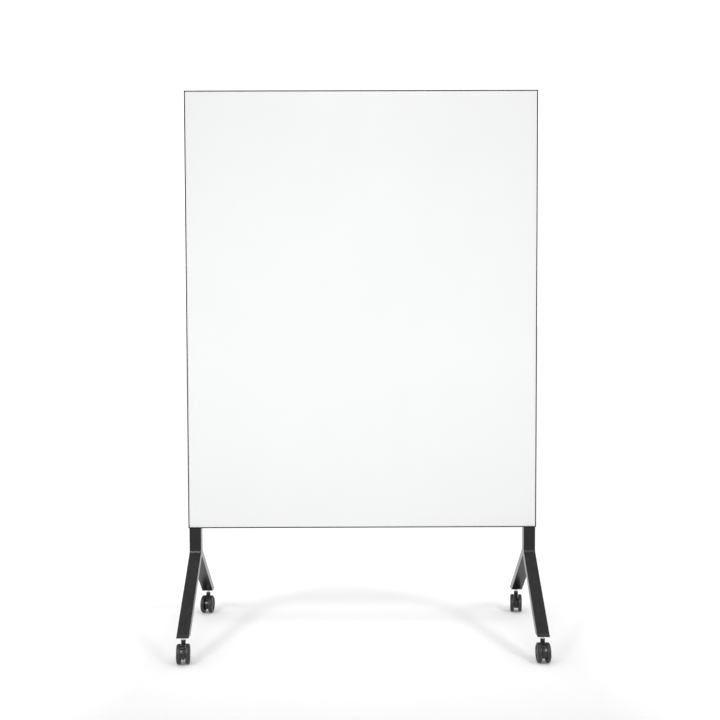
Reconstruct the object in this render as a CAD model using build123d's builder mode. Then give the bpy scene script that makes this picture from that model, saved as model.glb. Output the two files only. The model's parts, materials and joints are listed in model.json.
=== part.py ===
from build123d import *
from math import atan2, cos, degrees, radians, sin
import os

# Rolling whiteboard. Millimetres, +Z up, X across the board, the front faces -Y.
# The origin lies on the floor, under the middle of the board.

# ---- Board -------------------------------------------------------------------
BOARD_WIDTH = 1200.0
BOARD_HEIGHT = 1494.0
BOARD_BOTTOM = 377.0  # height of the board's lower edge above the floor
CORE_THICKNESS = 24.0
SHEET_THICKNESS = 0.6
CORE_CLEARANCE = 0.2  # between the core's edges and the webs of the edge profiles
SHEET_CLEARANCE = 0.2  # between the sheets' edges and the lips of the edge profiles

EDGE_WEB = 1.5
EDGE_SIGHTLINE = 3.5  # width of dark edge that shows on each face
EDGE_STEP = 1.0  # how far the lips stand out from the sheets
EDGE_ROUNDING = 0.5

BRACKET_ARM = 60.0
BRACKET_WIDTH = 18.0
BRACKET_THICKNESS = 2.0
BRACKET_CLEARANCE = 0.1

# ---- Legs --------------------------------------------------------------------
COLUMN_INSET = 4.0  # from the board's side to the column's side
COLUMN_WIDTH = 40.0  # along X
COLUMN_DEPTH = 40.0  # along Y
STUB_HEIGHT = 81.0  # from the board's lower edge down to the bend
ARM_THICKNESS = 27.5
ARM_REACH = 316.0  # from the board's middle plane to the foot's far edge
ARM_BUTT = 25.0  # from the bend to the joint between knuckle and arm
LEG_WALL = 2.5
LEG_CORNER = 2.0
BEND_RADIUS = 15.0
CROTCH_RADIUS = 6.0
FOOT_PLATE = 8.0
FOOT_PLUG_LENGTH = 24.0
PLUG_CLEARANCE = 0.15

# ---- Joint between board and legs ----------------------------------------------
SPIGOT_WIDTH = 36.0
SPIGOT_DEPTH = 18.6
SPIGOT_WALL = 3.0
SPIGOT_INSERTION = 400.0
SOCKET_WALL = 2.5
SOCKET_CLEARANCE = 0.2
SOCKET_OVERRUN = 20.0
COLUMN_PLATE = 6.0
SPIGOT_SCREW_HEIGHTS = (60.0, 200.0, 340.0)  # above the board's lower edge

# ---- Screws ------------------------------------------------------------------
CLAMP_HEAD_RADIUS = 5.5
CLAMP_SHANK_RADIUS = 3.0
CLAMP_LENGTH = 12.0
TRIM_HEAD_RADIUS = 3.0
TRIM_SHANK_RADIUS = 1.6
TRIM_LENGTH = 16.0
TRIM_SCREW_SPACING = 280.0
TRIM_SCREW_END = 30.0  # from a board corner to the last screw
SCREW_CLEARANCE = 0.1

# ---- Casters -----------------------------------------------------------------
WHEEL_DIAMETER = 64.0
WHEEL_WIDTH = 13.0
WHEEL_GAP = 16.0  # between the inner faces of a pair
TYRE_THICKNESS = 6.5
TYRE_OUTER_SHOULDER = 5.5
TYRE_INNER_SHOULDER = 2.5
TRAIL = 12.5
FOOT_TO_WHEEL = 21.0  # from the foot's underside down to the wheels' tops
COLLAR_RADIUS = 5.0
COLLAR_HEIGHT = 10.5
STEM_RADIUS = 4.5
STEM_TIP_COVER = 0.6  # foot plug left above the stem's tip
KINGPIN_RADIUS = 4.0
KINGPIN_LENGTH = 14.0
RUNNING_CLEARANCE = 0.05
SWIVEL_GAP = 0.3
BOSS_RADIUS = 7.6
BOSS_HEIGHT = 18.0
RING_OUTER_RADIUS = 5.5
RING_THICKNESS = 1.2
RING_DEPTH = 4.0  # from the collar down to the ring
RING_GROOVE_DEPTH = 0.7
RING_CLEARANCE = 0.3
RING_SLOT = 3.0
WEB_THICKNESS = 9.0  # leaves room for the cheeks of a brake lever
PLAIN_WEB_THICKNESS = 14.0  # where there is no brake lever
WEB_RADIUS = 19.0
HUB_RADIUS = 9.0
HUB_OVERHANG = 2.0  # how far the body's hub reaches into each wheel
HUB_GAP = 0.4
AXLE_RADIUS = 4.0
AXLE_END_COVER = 2.6  # wheel material outboard of the axle's end
AXLE_CHAMFER = 0.5
BOSS_FOOT_RADIUS = 3.0
BOSS_TOP_RADIUS = 1.0
WEB_EDGE_RADIUS = 0.8
CORE_HUB_RADIUS = 8.2
CORE_RIM = 2.8
CORE_DISC = 4.4
CORE_DISH = 3.4  # from the tyre's outer face in to the core's disc
CORE_EDGE_INSET = 1.0  # from the tyre's faces to the core's rim
CORE_CAP_INSET = 0.6
CORE_CAP_SLOPE = 1.6

LEVER_CHEEK = 2.6
LEVER_SIDE_GAP = 0.3
LEVER_RING_WALL = 4.5
LEVER_RIM = 4.5
LEVER_RIM_INSET = 1.0  # from the wheel's outer radius in to the lever's rim
LEVER_START = -12.0  # degrees above the level line through the axle
LEVER_END = 76.0
LEVER_CHEEK_MARGIN = 16.0
PEDAL_ANGLE = 48.0
PEDAL_REACH = 4.5
PEDAL_THICKNESS = 5.0

# corner: (side of the board, front or rear, heading in degrees, has a brake)
CASTERS = {
    "front_left": (-1, -1, 5.0, True),
    "front_right": (1, -1, 1.0, True),
    "rear_left": (-1, 1, -6.0, False),
    "rear_right": (1, 1, -7.0, False),
}
SIDES = {"left": -1, "right": 1}

# ---- Values that follow from the sizes above -------------------------------------
board_top = BOARD_BOTTOM + BOARD_HEIGHT
half_core = CORE_THICKNESS / 2
half_panel = half_core + SHEET_THICKNESS
half_profile = half_panel + EDGE_STEP
core_margin = EDGE_WEB + CORE_CLEARANCE
sheet_margin = EDGE_SIGHTLINE + SHEET_CLEARANCE
board_middle = BOARD_BOTTOM + BOARD_HEIGHT / 2

wheel_radius = WHEEL_DIAMETER / 2
foot_height = WHEEL_DIAMETER + FOOT_TO_WHEEL
bend_height = BOARD_BOTTOM - STUB_HEIGHT
column_x = BOARD_WIDTH / 2 - COLUMN_INSET - COLUMN_WIDTH / 2
arm_slope = atan2(ARM_REACH - COLUMN_DEPTH / 2, bend_height - foot_height)  # from vertical
foot_length = ARM_THICKNESS / cos(arm_slope)
kingpin_y = ARM_REACH - foot_length / 2

socket_inner_width = SPIGOT_WIDTH + 2 * SOCKET_CLEARANCE
socket_inner_depth = CORE_THICKNESS - 2 * SOCKET_WALL
socket_width = socket_inner_width + 2 * SOCKET_WALL
socket_top = BOARD_BOTTOM + SPIGOT_INSERTION + SOCKET_OVERRUN
spigot_bottom = BOARD_BOTTOM - COLUMN_PLATE

collar_bottom = foot_height - COLLAR_HEIGHT
boss_top = collar_bottom - SWIVEL_GAP
boss_bottom = boss_top - BOSS_HEIGHT
ring_top = collar_bottom - RING_DEPTH
hub_half_length = WHEEL_GAP / 2 + HUB_OVERHANG
wheel_inner = WHEEL_GAP / 2
wheel_outer = wheel_inner + WHEEL_WIDTH
axle_half_length = wheel_outer - AXLE_END_COVER
lever_half_width = WEB_THICKNESS / 2 + LEVER_SIDE_GAP + LEVER_CHEEK


os.makedirs("parts", exist_ok=True)


def save(piece, name):
    """Label a finished piece and write its STEP file."""
    piece.part.label = name
    export_step(piece.part, f"parts/{name}.step")


# ---- Screw pieces ------------------------------------------------------------------
def seat(x, z, inward):
    """A plane on the board's edge face whose X axis points into the board."""
    across = (0, 0, 1) if inward[0] else (1, 0, 0)
    return Plane(origin=(x, 0, z), x_dir=inward, z_dir=(Vector(inward).cross(Vector(across))))


def countersunk(seats, head_radius, shank_radius, length, clearance=0.0):
    """Flat-head screws, or with a clearance the holes for them, one at each seat."""
    head = head_radius + clearance
    shank = shank_radius + clearance
    with BuildPart() as screws:
        for place in seats:
            with BuildSketch(place):
                Polygon((0, 0), (0, head), (head - shank, shank), (length, shank), (length, 0), align=None)
            revolve(axis=Axis(place.origin, place.x_dir))
    return screws


def screw_row(length):
    """Evenly spaced screw places along an edge of this length, from its middle."""
    reach = length / 2 - TRIM_SCREW_END
    count = max(2, round(2 * reach / TRIM_SCREW_SPACING) + 1)
    step = 2 * reach / (count - 1)
    return [-reach + step * i for i in range(count)]


top_seats = [seat(x, board_top, (0, 0, -1)) for x in screw_row(BOARD_WIDTH)]
bottom_seats = [
    seat(x, BOARD_BOTTOM, (0, 0, 1)) for x in screw_row(BOARD_WIDTH - 4 * (COLUMN_INSET + COLUMN_WIDTH))
]
clear_of_sockets = board_top - socket_top
side_seats = {
    side: [
        seat(sign * BOARD_WIDTH / 2, (board_top + socket_top) / 2 + z, (-sign, 0, 0))
        for z in screw_row(clear_of_sockets)
    ]
    for side, sign in SIDES.items()
}
trim_seats = top_seats + bottom_seats + side_seats["left"] + side_seats["right"]
clamp_seats = {
    side: [seat(sign * BOARD_WIDTH / 2, BOARD_BOTTOM + h, (-sign, 0, 0)) for h in SPIGOT_SCREW_HEIGHTS]
    for side, sign in SIDES.items()
}

edge_profile_screws = countersunk(trim_seats, TRIM_HEAD_RADIUS, TRIM_SHANK_RADIUS, TRIM_LENGTH)
save(edge_profile_screws, "edge_profile_screws")
trim_holes = countersunk(trim_seats, TRIM_HEAD_RADIUS, TRIM_SHANK_RADIUS, TRIM_LENGTH, SCREW_CLEARANCE)
clamp_holes = {}
for side in SIDES:
    clamp_screws = countersunk(clamp_seats[side], CLAMP_HEAD_RADIUS, CLAMP_SHANK_RADIUS, CLAMP_LENGTH)
    save(clamp_screws, f"{side}_spigot_screws")
    clamp_holes[side] = countersunk(
        clamp_seats[side], CLAMP_HEAD_RADIUS, CLAMP_SHANK_RADIUS, CLAMP_LENGTH, SCREW_CLEARANCE
    )

# ---- Board panel -------------------------------------------------------------------
bracket_x = BOARD_WIDTH / 2 - EDGE_WEB
bracket_z = board_top - EDGE_WEB


def bracket_outline(sign, grow):
    """Corners of the L-shaped bracket in a top corner, or with grow of the recess that holds it."""
    outer = (sign * (bracket_x + grow), bracket_z + grow)
    inner_x = sign * (bracket_x - BRACKET_THICKNESS - grow)
    inner_z = bracket_z - BRACKET_THICKNESS - grow
    end_x = sign * (bracket_x - BRACKET_ARM - grow)
    end_z = bracket_z - BRACKET_ARM - grow
    return [outer, (outer[0], end_z), (inner_x, end_z), (inner_x, inner_z), (end_x, inner_z), (end_x, outer[1])]


with BuildPart() as top_corner_brackets:
    with BuildSketch(Plane.XZ):
        for sign in SIDES.values():
            Polygon(*bracket_outline(sign, 0), align=None)
    extrude(amount=BRACKET_WIDTH / 2, both=True)
    add(trim_holes.part, mode=Mode.SUBTRACT)
save(top_corner_brackets, "top_corner_brackets")

with BuildPart() as board_core:
    with BuildSketch(Plane.XZ):
        with Locations((0, board_middle)):
            Rectangle(BOARD_WIDTH - 2 * core_margin, BOARD_HEIGHT - 2 * core_margin)
        socket_reach = BOARD_WIDTH / 2 - column_x + socket_width / 2 + SOCKET_CLEARANCE
        socket_recess = socket_top - BOARD_BOTTOM + SOCKET_CLEARANCE
        for sign in SIDES.values():
            with Locations((sign * (BOARD_WIDTH - socket_reach) / 2, BOARD_BOTTOM + socket_recess / 2)):
                Rectangle(socket_reach, socket_recess, mode=Mode.SUBTRACT)
    extrude(amount=half_core, both=True)
    with BuildSketch(Plane.XZ):
        for sign in SIDES.values():
            Polygon(*bracket_outline(sign, BRACKET_CLEARANCE), align=None)
    extrude(amount=BRACKET_WIDTH / 2 + BRACKET_CLEARANCE, both=True, mode=Mode.SUBTRACT)
    add(trim_holes.part, mode=Mode.SUBTRACT)
save(board_core, "board_core")

for face_name, sign in (("front", -1), ("rear", 1)):
    with BuildPart() as writing_sheet:
        with BuildSketch(Plane.XZ.offset(-sign * half_core)):
            with Locations((0, board_middle)):
                Rectangle(BOARD_WIDTH - 2 * sheet_margin, BOARD_HEIGHT - 2 * sheet_margin)
        extrude(amount=-sign * SHEET_THICKNESS)
    save(writing_sheet, f"{face_name}_writing_sheet")


# ---- Edge profiles -----------------------------------------------------------------
def edge_band(start, end, inward, depth, overrun):
    """Corners of a mitred band along the edge from start to end, this deep."""
    along = (Vector(end) - Vector(start)).normalized()
    step = Vector(inward) * depth
    near = along * (depth - overrun)
    first = Vector(start) - along * overrun
    last = Vector(end) + along * overrun
    return [first, last, Vector(end) + step - near, Vector(start) + step + near]


half_width = BOARD_WIDTH / 2
EDGES = {
    "top": ((-half_width, board_top), (half_width, board_top), (0, -1), Axis.X, Axis.Z),
    "bottom": ((-half_width, BOARD_BOTTOM), (half_width, BOARD_BOTTOM), (0, 1), Axis.X, -Axis.Z),
    "left": ((-half_width, BOARD_BOTTOM), (-half_width, board_top), (1, 0), Axis.Z, -Axis.X),
    "right": ((half_width, BOARD_BOTTOM), (half_width, board_top), (-1, 0), Axis.Z, Axis.X),
}
for edge_name, (start, end, inward, along, outward) in EDGES.items():
    with BuildPart() as edge_profile:
        with BuildSketch(Plane.XZ):
            Polygon(*edge_band(start, end, inward, EDGE_SIGHTLINE, 0), align=None)
        extrude(amount=half_profile, both=True)
        outer_face = edge_profile.faces().sort_by(outward)[-1]
        fillet(outer_face.edges().filter_by(along), EDGE_ROUNDING)
        web_shift = Vector(inward) * EDGE_WEB
        channel = edge_band(
            Vector(start) + web_shift, Vector(end) + web_shift, inward, EDGE_SIGHTLINE, EDGE_SIGHTLINE
        )
        with BuildSketch(Plane.XZ):
            Polygon(*channel, align=None)
        extrude(amount=half_core, both=True, mode=Mode.SUBTRACT)
        add(trim_holes.part, mode=Mode.SUBTRACT)
        for side in SIDES:
            add(clamp_holes[side].part, mode=Mode.SUBTRACT)
        if edge_name == "bottom":
            with BuildSketch(Plane.XY.offset(BOARD_BOTTOM)):
                with Locations((column_x, 0), (-column_x, 0)):
                    Rectangle(socket_inner_width, socket_inner_depth)
            extrude(amount=EDGE_SIGHTLINE, mode=Mode.SUBTRACT)
    save(edge_profile, f"edge_profile_{edge_name}")


# ---- Sockets, spigots and column plates ----------------------------------------------
for side, sign in SIDES.items():
    with BuildPart() as socket:
        with BuildSketch(Plane.XY.offset(BOARD_BOTTOM + EDGE_WEB)):
            with Locations((sign * column_x, 0)):
                Rectangle(socket_width, CORE_THICKNESS)
                Rectangle(socket_inner_width, socket_inner_depth, mode=Mode.SUBTRACT)
        extrude(amount=socket_top - BOARD_BOTTOM - EDGE_WEB)
        add(clamp_holes[side].part, mode=Mode.SUBTRACT)
    save(socket, f"{side}_socket")

    with BuildPart() as spigot:
        with BuildSketch(Plane.XY.offset(spigot_bottom)):
            with Locations((sign * column_x, 0)):
                Rectangle(SPIGOT_WIDTH, SPIGOT_DEPTH)
                offset(amount=-SPIGOT_WALL, mode=Mode.SUBTRACT)
        extrude(amount=SPIGOT_INSERTION + COLUMN_PLATE)
        add(clamp_holes[side].part, mode=Mode.SUBTRACT)
    save(spigot, f"{side}_spigot")

    with BuildPart() as column_plate:
        with BuildSketch(Plane.XY.offset(spigot_bottom)):
            with Locations((sign * column_x, 0)):
                RectangleRounded(COLUMN_WIDTH, COLUMN_DEPTH, LEG_CORNER)
                Rectangle(SPIGOT_WIDTH, SPIGOT_DEPTH, mode=Mode.SUBTRACT)
        extrude(amount=COLUMN_PLATE)
    save(column_plate, f"{side}_column_plate")


# ---- Inverted-Y legs -----------------------------------------------------------------
def arm_point(depth, along):
    """(y, z) of a point this deep below the front arm's upper face, this far down from the bend."""
    y = -COLUMN_DEPTH / 2 - sin(arm_slope) * along + cos(arm_slope) * depth
    z = bend_height - cos(arm_slope) * along - sin(arm_slope) * depth
    return y, z


def along_at_height(depth, z):
    """How far down the arm a line at this depth crosses the height z."""
    return (bend_height - z - sin(arm_slope) * depth) / cos(arm_slope)


def along_at_y(depth, y):
    """How far down the arm a line at this depth crosses y."""
    return (cos(arm_slope) * depth - COLUMN_DEPTH / 2 - y) / sin(arm_slope)


def knuckle_outline(inset):
    """Outline of the column with the beginnings of both arms, shrunk by the inset."""
    front = -COLUMN_DEPTH / 2 + inset
    bend = arm_point(inset, along_at_y(inset, front))
    crotch = arm_point(ARM_THICKNESS - inset, along_at_y(ARM_THICKNESS - inset, 0))
    half = [
        (front, spigot_bottom),
        bend,
        arm_point(inset, ARM_BUTT),
        arm_point(ARM_THICKNESS - inset, ARM_BUTT),
    ]
    return half + [crotch] + [(-y, z) for y, z in reversed(half)]


def arm_axis(end):
    """Direction down the front arm (end -1) or the rear arm (end 1)."""
    return Axis((0, 0, 0), (0, end * sin(arm_slope), -cos(arm_slope)))


def arm_outline(inset, bottom, end):
    """Outline of an arm from its butt down to the height bottom."""
    upper, lower = inset, ARM_THICKNESS - inset
    outline = [
        arm_point(upper, ARM_BUTT),
        arm_point(upper, along_at_height(upper, bottom)),
        arm_point(lower, along_at_height(lower, bottom)),
        arm_point(lower, ARM_BUTT),
    ]
    return [(-end * y, z) for y, z in outline]


def plate_outline(end):
    """Outline of the foot's end plate, which carries on the arm's faces down to the foot's underside."""
    outline = [
        arm_point(0, along_at_height(0, foot_top)),
        arm_point(0, along_at_height(0, foot_height)),
        arm_point(ARM_THICKNESS, along_at_height(ARM_THICKNESS, foot_height)),
        arm_point(ARM_THICKNESS, along_at_height(ARM_THICKNESS, foot_top)),
    ]
    return [(-end * y, z) for y, z in outline]


def plug_outline(end):
    """Outline of the part of the foot plug that fills the end of the arm."""
    upper, lower = plug_depth, ARM_THICKNESS - plug_depth
    top = along_at_height(lower, foot_top) - FOOT_PLUG_LENGTH
    outline = [
        arm_point(upper, top),
        arm_point(upper, along_at_height(upper, foot_top)),
        arm_point(lower, along_at_height(lower, foot_top)),
        arm_point(lower, top),
    ]
    return [(-end * y, z) for y, z in outline]


foot_top = foot_height + FOOT_PLATE
inner_half_width = COLUMN_WIDTH / 2 - LEG_WALL
plug_depth = LEG_WALL + PLUG_CLEARANCE
stem_top = arm_point(plug_depth, along_at_y(plug_depth, -kingpin_y - STEM_RADIUS))[1] - STEM_TIP_COVER
for side, sign in SIDES.items():
    leg_plane = Plane.YZ.offset(sign * column_x)

    with BuildPart() as column:
        with BuildSketch(leg_plane) as silhouette:
            Polygon(*knuckle_outline(0), align=None)
            bends = silhouette.vertices().filter_by_position(Axis.Y, bend_height - 1, bend_height + 1)
            fillet(bends, BEND_RADIUS)
            crotch = silhouette.vertices().filter_by_position(Axis.X, -1, 1)
            fillet(crotch, CROTCH_RADIUS)
        extrude(amount=COLUMN_WIDTH / 2, both=True)
        side_edges = column.faces().filter_by(Axis.X).edges()
        long_edges = side_edges.filter_by(Axis.Z) + side_edges.filter_by(GeomType.CIRCLE)
        for end in (-1, 1):
            long_edges += side_edges.filter_by(arm_axis(end))
        fillet(long_edges, LEG_CORNER)
        with BuildSketch(leg_plane):
            Polygon(*knuckle_outline(LEG_WALL), align=None)
        extrude(amount=inner_half_width, both=True, mode=Mode.SUBTRACT)
    save(column, f"{side}_column")

    for end_name, end in (("front", -1), ("rear", 1)):
        with BuildPart() as arm:
            with BuildSketch(leg_plane):
                Polygon(*arm_outline(0, foot_top, end), align=None)
            extrude(amount=COLUMN_WIDTH / 2, both=True)
            fillet(arm.edges().filter_by(arm_axis(end)), LEG_CORNER)
            with BuildSketch(leg_plane):
                Polygon(*arm_outline(LEG_WALL, foot_top, end), align=None)
            extrude(amount=inner_half_width, both=True, mode=Mode.SUBTRACT)
        save(arm, f"{side}_{end_name}_arm")

        with BuildPart() as foot_plug:
            with BuildSketch(leg_plane):
                Polygon(*plate_outline(end), align=None)
            extrude(amount=COLUMN_WIDTH / 2, both=True)
            fillet(foot_plug.edges().filter_by(arm_axis(end)), LEG_CORNER)
            with BuildSketch(leg_plane):
                Polygon(*plug_outline(end), align=None)
            extrude(amount=inner_half_width - PLUG_CLEARANCE, both=True)
            with BuildSketch(Plane.XY.offset(foot_height)):
                with Locations((sign * column_x, end * kingpin_y)):
                    Circle(STEM_RADIUS)
            extrude(amount=stem_top - foot_height, mode=Mode.SUBTRACT)
        save(foot_plug, f"{side}_{end_name}_foot_plug")


# ---- Casters -------------------------------------------------------------------------
kingpin_bottom = collar_bottom - KINGPIN_LENGTH
groove_radius = KINGPIN_RADIUS - RING_GROOVE_DEPTH
lever_bore = HUB_RADIUS + LEVER_SIDE_GAP
lever_rim_outer = wheel_radius - LEVER_RIM_INSET
lever_rim_inner = lever_rim_outer - LEVER_RIM
tyre_seat = wheel_radius - TYRE_THICKNESS
disc_outside = wheel_outer - CORE_DISH
disc_inside = disc_outside - CORE_DISC


def on_lever(radius, angle):
    """A point of the brake lever, at an angle above the level line on the trailing side."""
    return -radius * cos(radians(angle)), radius * sin(radians(angle))


def cheek_corners():
    """The two far corners of the lever's cheeks, inside its rim."""
    radius = lever_rim_outer - LEVER_RIM_INSET
    return [
        on_lever(radius, LEVER_START + LEVER_CHEEK_MARGIN),
        on_lever(radius, LEVER_END - LEVER_CHEEK_MARGIN),
    ]


def pedal_corners():
    """Corners of the pedal, a short bar that stands out of the lever's rim."""
    root, tip = lever_rim_inner, wheel_radius + PEDAL_REACH
    corners = []
    for radius, half in ((root, 1), (tip, 1), (tip, -1), (root, -1)):
        spread = degrees(PEDAL_THICKNESS / 2 / radius)
        corners.append(on_lever(radius, PEDAL_ANGLE + half * spread))
    return corners


def stem_outline():
    """Half section of the stem: thread, collar and kingpin with its ring groove."""
    ring_bottom = ring_top - RING_THICKNESS
    return [
        (0, stem_top),
        (STEM_RADIUS, stem_top),
        (STEM_RADIUS, foot_height),
        (COLLAR_RADIUS, foot_height),
        (COLLAR_RADIUS, collar_bottom),
        (KINGPIN_RADIUS, collar_bottom),
        (KINGPIN_RADIUS, ring_top),
        (groove_radius, ring_top),
        (groove_radius, ring_bottom),
        (KINGPIN_RADIUS, ring_bottom),
        (KINGPIN_RADIUS, kingpin_bottom),
        (0, kingpin_bottom),
    ]


def kingpin_bore_outline():
    """Half section of the hole in the caster body that turns on the kingpin and clears the ring."""
    bore = KINGPIN_RADIUS + RUNNING_CLEARANCE
    recess = RING_OUTER_RADIUS + RING_CLEARANCE
    recess_top = ring_top + RING_CLEARANCE
    recess_bottom = ring_top - RING_THICKNESS - RING_CLEARANCE
    return [
        (0, boss_top),
        (bore, boss_top),
        (bore, recess_top),
        (recess, recess_top),
        (recess, recess_bottom),
        (bore, recess_bottom),
        (bore, kingpin_bottom - SWIVEL_GAP),
        (0, kingpin_bottom - SWIVEL_GAP),
    ]


def wheel_core_outline():
    """Half section of a wheel's core: blind hub, thin disc and rim, with a shallow cap outside."""
    bore = AXLE_RADIUS + RUNNING_CLEARANCE
    hub_start = hub_half_length + HUB_GAP
    bore_end = axle_half_length + HUB_GAP
    return [
        (hub_start, bore),
        (hub_start, CORE_HUB_RADIUS),
        (disc_inside, CORE_HUB_RADIUS),
        (disc_inside, tyre_seat - CORE_RIM),
        (wheel_inner + CORE_EDGE_INSET, tyre_seat - CORE_RIM),
        (wheel_inner + CORE_EDGE_INSET, tyre_seat),
        (wheel_outer - CORE_EDGE_INSET, tyre_seat),
        (wheel_outer - CORE_EDGE_INSET, tyre_seat - CORE_RIM / 2),
        (disc_outside, tyre_seat - CORE_RIM - CORE_EDGE_INSET),
        (disc_outside, CORE_HUB_RADIUS + CORE_CAP_SLOPE),
        (wheel_outer - CORE_CAP_INSET, CORE_HUB_RADIUS),
        (wheel_outer - CORE_CAP_INSET, 0),
        (bore_end, 0),
        (bore_end, bore),
    ]


ring_places = []
for corner, (side_sign, end_sign, heading, has_brake) in CASTERS.items():
    turn = radians(heading)
    axle_way = Vector(cos(turn), sin(turn), 0)
    lead_way = Vector(-sin(turn), cos(turn), 0)
    kingpin = Vector(side_sign * column_x, end_sign * kingpin_y, 0)
    axle_centre = kingpin - lead_way * TRAIL + Vector(0, 0, wheel_radius)
    kingpin_axis = Axis(kingpin, (0, 0, 1))
    axle_axis = Axis(axle_centre, axle_way)
    stem_section = Plane(origin=kingpin, x_dir=axle_way, z_dir=-lead_way)
    side_view = Plane(origin=axle_centre, x_dir=lead_way, z_dir=axle_way)
    web_thickness = WEB_THICKNESS if has_brake else PLAIN_WEB_THICKNESS

    with BuildPart() as stem:
        with BuildSketch(stem_section):
            Polygon(*stem_outline(), align=None)
        revolve(axis=kingpin_axis)
    save(stem, f"{corner}_stem")
    ring_places.append((kingpin, lead_way))

    with BuildPart() as caster_body:
        with BuildSketch(side_view):
            Circle(WEB_RADIUS)
            with Locations((TRAIL, boss_bottom + BOSS_RADIUS - wheel_radius)):
                Circle(BOSS_RADIUS - BOSS_FOOT_RADIUS / 2)
            make_hull()
        extrude(amount=web_thickness / 2, both=True)
        fillet(caster_body.edges(), WEB_EDGE_RADIUS)
        with BuildSketch(stem_section) as boss_outline:
            with Locations((BOSS_RADIUS / 2, boss_bottom + BOSS_HEIGHT / 2)):
                Rectangle(BOSS_RADIUS, BOSS_HEIGHT)
            fillet(boss_outline.vertices().sort_by(Axis.Y)[:2].sort_by(Axis.X)[-1], BOSS_FOOT_RADIUS)
            fillet(boss_outline.vertices().sort_by(Axis.Y)[-2:].sort_by(Axis.X)[-1], BOSS_TOP_RADIUS)
        revolve(axis=kingpin_axis)
        with BuildSketch(side_view):
            Circle(HUB_RADIUS)
        extrude(amount=hub_half_length, both=True)
        with BuildSketch(side_view):
            Circle(AXLE_RADIUS)
        extrude(amount=hub_half_length, both=True, mode=Mode.SUBTRACT)
        with BuildSketch(stem_section):
            Polygon(*kingpin_bore_outline(), align=None)
        revolve(axis=kingpin_axis, mode=Mode.SUBTRACT)
    save(caster_body, f"{corner}_body")

    with BuildPart() as axle:
        with BuildSketch(side_view):
            Circle(AXLE_RADIUS)
        extrude(amount=axle_half_length, both=True)
        chamfer(axle.edges(), AXLE_CHAMFER)
    save(axle, f"{corner}_axle")

    for place, way in (("outer", side_sign), ("inner", -side_sign)):
        wheel_section = Plane(origin=axle_centre, x_dir=axle_way * way, z_dir=-lead_way * way)
        with BuildPart() as wheel_core:
            with BuildSketch(wheel_section):
                Polygon(*wheel_core_outline(), align=None)
            revolve(axis=axle_axis)
        save(wheel_core, f"{corner}_{place}_wheel")

        with BuildPart() as tyre:
            with BuildSketch(wheel_section) as tyre_outline:
                with Locations(((wheel_inner + wheel_outer) / 2, (tyre_seat + wheel_radius) / 2)):
                    Rectangle(WHEEL_WIDTH, TYRE_THICKNESS)
                fillet(tyre_outline.vertices().sort_by(Axis.X)[-2:].sort_by(Axis.Y)[-1], TYRE_OUTER_SHOULDER)
                fillet(tyre_outline.vertices().sort_by(Axis.X)[:2].sort_by(Axis.Y)[-1], TYRE_INNER_SHOULDER)
            revolve(axis=axle_axis)
        save(tyre, f"{corner}_{place}_tyre")

    if has_brake:
        with BuildPart() as brake_lever:
            with BuildSketch(side_view):
                Circle(lever_bore + LEVER_RING_WALL)
                Polygon((0, 0), *cheek_corners(), align=None)
                with BuildLine():
                    outer_arc = CenterArc((0, 0), lever_rim_outer, 180 - LEVER_END, LEVER_END - LEVER_START)
                    inner_arc = CenterArc((0, 0), lever_rim_inner, 180 - LEVER_END, LEVER_END - LEVER_START)
                    Line(outer_arc @ 0, inner_arc @ 0)
                    Line(outer_arc @ 1, inner_arc @ 1)
                make_face()
                Polygon(*pedal_corners(), align=None)
                Circle(lever_bore, mode=Mode.SUBTRACT)
            extrude(amount=lever_half_width, both=True)
            with BuildSketch(side_view):
                Circle(lever_rim_inner)
            extrude(amount=lever_half_width - LEVER_CHEEK, both=True, mode=Mode.SUBTRACT)
        save(brake_lever, f"{corner}_brake_lever")

with BuildPart() as kingpin_grip_rings:
    for kingpin, lead_way in ring_places:
        ring_plane = Plane(origin=kingpin + Vector(0, 0, ring_top - RING_THICKNESS), x_dir=lead_way)
        with BuildSketch(ring_plane):
            Circle(RING_OUTER_RADIUS)
            Circle(groove_radius + RUNNING_CLEARANCE, mode=Mode.SUBTRACT)
            with Locations((RING_OUTER_RADIUS / 2, 0)):
                Rectangle(RING_OUTER_RADIUS, RING_SLOT, mode=Mode.SUBTRACT)
        extrude(amount=RING_THICKNESS)
save(kingpin_grip_rings, "kingpin_grip_rings")
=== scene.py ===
"""Rolling whiteboard: the looks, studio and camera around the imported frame."""

import json
import logging
import math
from dataclasses import dataclass, field, replace
from enum import Enum
from typing import Any, Callable, ClassVar, Iterable, Sequence

import bmesh
import bpy
from mathutils import Matrix, Vector

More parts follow.
